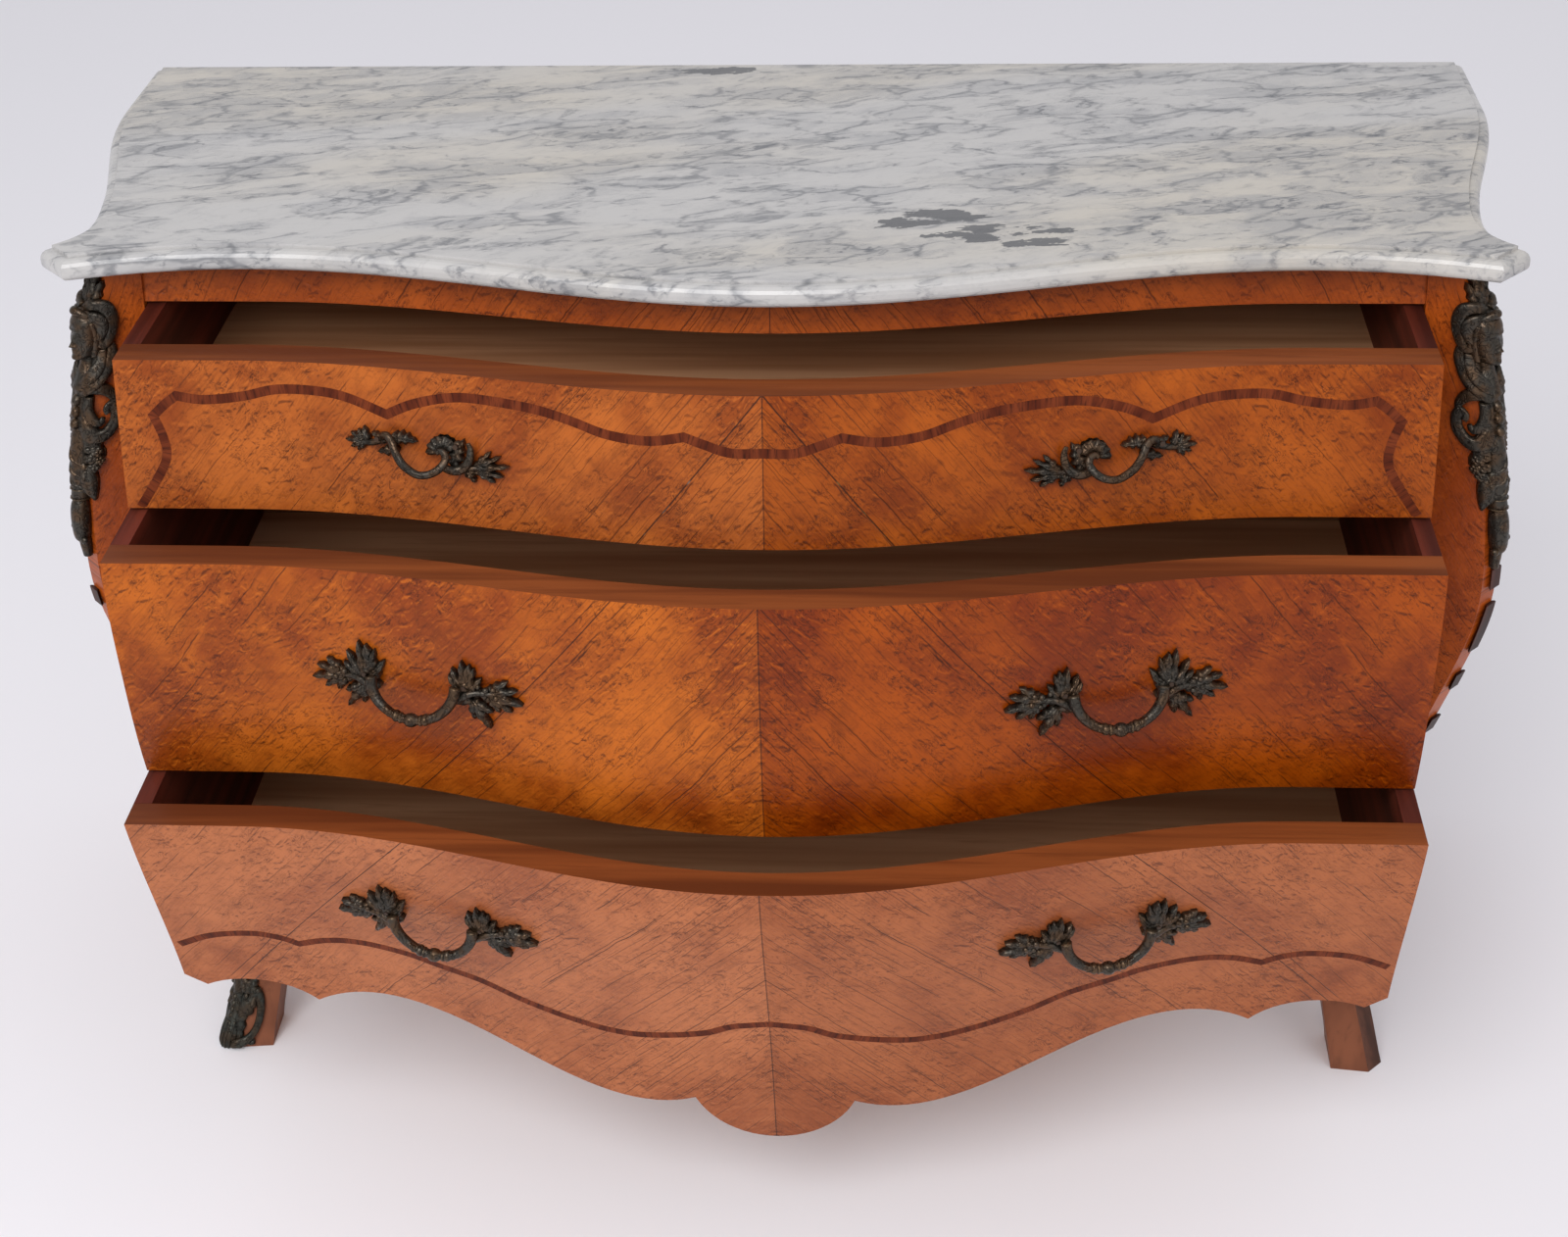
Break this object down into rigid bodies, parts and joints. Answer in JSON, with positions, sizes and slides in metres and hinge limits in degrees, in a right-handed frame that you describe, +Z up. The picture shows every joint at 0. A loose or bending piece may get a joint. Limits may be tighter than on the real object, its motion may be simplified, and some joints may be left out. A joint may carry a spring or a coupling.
{
  "type": "bombe chest of drawers",
  "caption": "Low serpentine bombe chest with sliding drawers, a moulded marble top, splayed legs, bronze pulls and bronze corner mounts.",
  "frame": {"origin": "on the floor, under the middle of the box around the chest as it stands, drawers pulled out", "axes": "+X to the chest's left as it looks out, the viewer's right; +Y to the back; +Z up"},
  "size_m": [1.233, 0.7355, 0.86],
  "materials": {
    "burl_veneer": "worn shellac over orange-brown burl veneer with fine cracks",
    "mahogany": "dark red, oiled",
    "carcass_wood": "bare, aged",
    "rosewood": "polished",
    "marble": "honed white marble with grey veins, opaque",
    "bronze": "cast, dark brown patina with rubbed high spots",
    "iron": "dull"
  },
  "bodies": {
    "case": {"marble_top": "marble", "front_left_post": "burl_veneer", "front_right_post": "burl_veneer", "corner_mount_left": "bronze", "corner_mount_right": "bronze", "corner_edging_left": "rosewood", "corner_edging_right": "rosewood", "sabot_left": "bronze", "mount_pins": "iron", "back_left_post": "burl_veneer", "back_right_post": "burl_veneer", "left_side_panel": "burl_veneer", "right_side_panel": "burl_veneer", "top_front_rail": "burl_veneer", "back_panel": "carcass_wood", "top_back_rail": "carcass_wood", "bottom_board": "carcass_wood", "top_kicker_left": "carcass_wood", "top_kicker_right": "carcass_wood", "top_runner_left": "carcass_wood", "top_runner_right": "carcass_wood", "middle_runner_left": "carcass_wood", "middle_runner_right": "carcass_wood", "bottom_runner_left": "carcass_wood", "bottom_runner_right": "carcass_wood"},
    "top_drawer": {"top_pull_left": "bronze", "top_pull_right": "bronze", "top_pull_screws": "iron", "top_drawer_front": "burl_veneer", "top_drawer_left_side": "mahogany", "top_drawer_right_side": "mahogany", "top_drawer_bottom": "carcass_wood", "top_drawer_back": "carcass_wood"},
    "middle_drawer": {"middle_pull_left": "bronze", "middle_pull_right": "bronze", "middle_pull_screws": "iron", "middle_drawer_front": "burl_veneer", "middle_drawer_left_side": "mahogany", "middle_drawer_right_side": "mahogany", "middle_drawer_bottom": "carcass_wood", "middle_drawer_back": "carcass_wood"},
    "bottom_drawer": {"bottom_pull_left": "bronze", "bottom_pull_right": "bronze", "bottom_pull_screws": "iron", "bottom_drawer_front": "burl_veneer", "bottom_drawer_left_side": "mahogany", "bottom_drawer_right_side": "mahogany", "bottom_drawer_bottom": "carcass_wood", "bottom_drawer_back": "carcass_wood"}
  },
  "joints": [
    {"name": "top_drawer_slide", "type": "slide", "parent": "case", "child": "top_drawer", "axis": [0, -1, 0], "range_m": [-0.1, 0.19]},
    {"name": "middle_drawer_slide", "type": "slide", "parent": "case", "child": "middle_drawer", "axis": [0, -1, 0], "range_m": [-0.18, 0.11]},
    {"name": "bottom_drawer_slide", "type": "slide", "parent": "case", "child": "bottom_drawer", "axis": [0, -1, 0], "range_m": [-0.25, 0.03]}
  ]
}
